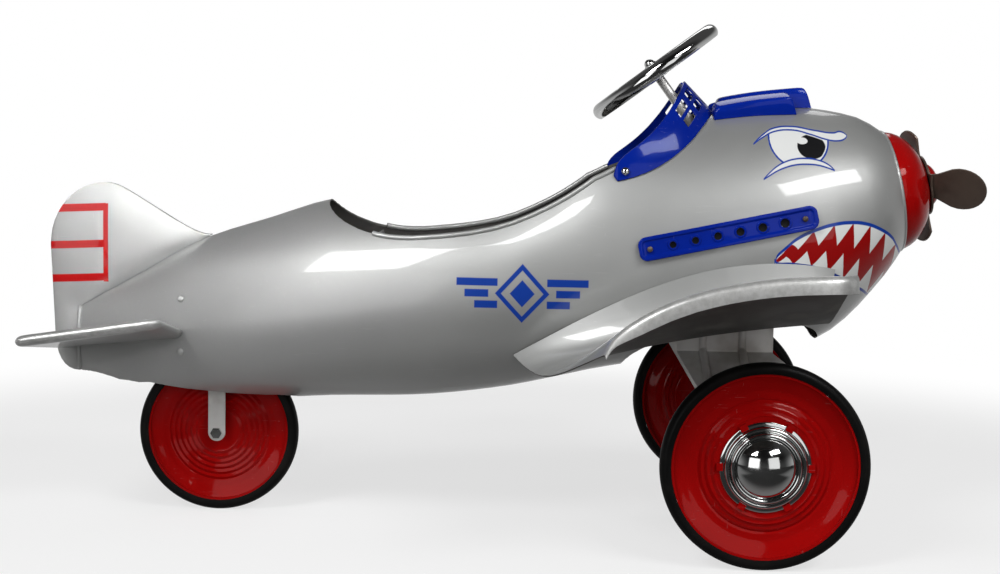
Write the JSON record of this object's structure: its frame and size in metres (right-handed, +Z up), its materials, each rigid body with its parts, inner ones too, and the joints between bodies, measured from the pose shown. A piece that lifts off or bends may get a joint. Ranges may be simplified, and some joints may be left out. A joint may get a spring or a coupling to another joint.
{
  "type": "ride-on pedal plane",
  "caption": "Child's ride-on pedal plane with a stamped hull, short wings, cranked pedal axle, free propeller and a steering wheel that turns the tail wheel through a drag link.",
  "frame": {"origin": "on the floor under the middle of the overall length, on the centre line", "axes": "+X to the nose, +Y to the pilot's left, +Z up; the wheels stand on Z = 0"},
  "size_m": [1.1922, 0.8, 0.6423],
  "materials": {
    "silver_paint": "glossy metallic silver enamel",
    "blue_paint": "glossy blue enamel",
    "red_paint": "glossy deep red enamel",
    "chrome": "bright plated",
    "bare_steel": "satin steel",
    "black_plastic": "matt moulded",
    "pedal_rubber": "matt ribbed",
    "tyre_rubber": "smooth black rubber"
  },
  "bodies": {
    "hull": {"fuselage_left": "silver_paint", "fuselage_right": "silver_paint", "tail_fin": "silver_paint", "tailplane_left": "silver_paint", "tailplane_right": "silver_paint", "wing_left": "silver_paint", "wing_right": "silver_paint", "nose_cone": "red_paint", "propeller_pin": "chrome", "windshield": "blue_paint", "windshield_screws": "chrome", "gun_centre": "blue_paint", "gun_left": "blue_paint", "gun_right": "blue_paint", "exhaust_left": "blue_paint", "exhaust_right": "blue_paint", "exhaust_screws": "chrome", "tail_screws": "silver_paint", "seat_pan": "silver_paint", "seat_rails": "bare_steel", "dash_plate": "silver_paint", "column_plate": "bare_steel", "column_bushes": "black_plastic", "fork_bracket": "bare_steel", "fork_bush": "black_plastic", "hanger_left": "silver_paint", "hanger_right": "silver_paint", "axle_bushes": "black_plastic"},
    "propeller": {"propeller": "bare_steel", "spinner_cap": "red_paint"},
    "steering": {"steering_wheel": "chrome", "steering_nut": "chrome", "steering_column": "bare_steel"},
    "drag_link": {"steering_rod": "bare_steel"},
    "fork": {"tail_fork": "silver_paint", "tail_axle_bolt": "chrome", "tail_axle_nut": "chrome"},
    "tail_wheel": {"tail_wheel_disc": "red_paint", "tail_tyre": "tyre_rubber"},
    "crank": {"crank_axle": "bare_steel", "axle_spacers": "bare_steel", "axle_nuts": "bare_steel", "front_disc_right": "red_paint", "front_tyre_right": "tyre_rubber", "hubcap_right": "chrome"},
    "free_wheel": {"front_disc_left": "red_paint", "front_tyre_left": "tyre_rubber", "hubcap_left": "chrome"},
    "left_pedal": {"pedal_left": "pedal_rubber"},
    "right_pedal": {"pedal_right": "pedal_rubber"}
  },
  "joints": [
    {"name": "crank_spin", "type": "hinge", "parent": "hull", "child": "crank", "pos_m": [0.30288, 0, 0.1215], "axis": [0, 1, 0], "continuous": true},
    {"name": "free_wheel_spin", "type": "hinge", "parent": "hull", "child": "free_wheel", "pos_m": [0.30288, 0.245, 0.1215], "axis": [0, 1, 0], "continuous": true},
    {"name": "left_pedal_turn", "type": "hinge", "parent": "crank", "child": "left_pedal", "pos_m": [0.33443, 0.084, 0.16655], "axis": [0, 1, 0], "continuous": true},
    {"name": "right_pedal_turn", "type": "hinge", "parent": "crank", "child": "right_pedal", "pos_m": [0.27134, -0.084, 0.07645], "axis": [0, 1, 0], "continuous": true},
    {"name": "steering_turn", "type": "hinge", "parent": "hull", "child": "steering", "pos_m": [0.18288, 0, 0.581], "axis": [0.6018, 0, -0.7986], "range_deg": [-20, 20]},
    {"name": "fork_turn", "type": "hinge", "parent": "hull", "child": "fork", "pos_m": [-0.37612, 0, 0.1045], "axis": [0, 0, 1], "range_deg": [-17, 17]},
    {"name": "link_turn", "type": "hinge", "parent": "fork", "child": "drag_link", "pos_m": [-0.37612, -0.05273, 0.222], "axis": [0, 0, 1], "range_deg": [-17, 17]},
    {"name": "tail_wheel_spin", "type": "hinge", "parent": "fork", "child": "tail_wheel", "pos_m": [-0.37612, 0, 0.1045], "axis": [0, 1, 0], "continuous": true},
    {"name": "propeller_spin", "type": "hinge", "parent": "hull", "child": "propeller", "pos_m": [0.48588, 0, 0.434], "axis": [0.9816, 0, 0.1908], "continuous": true}
  ],
  "couplings": [
    {"joint": "fork_turn", "follows": "steering_turn", "ratio": 0.85},
    {"joint": "link_turn", "follows": "steering_turn", "ratio": -0.85}
  ]
}
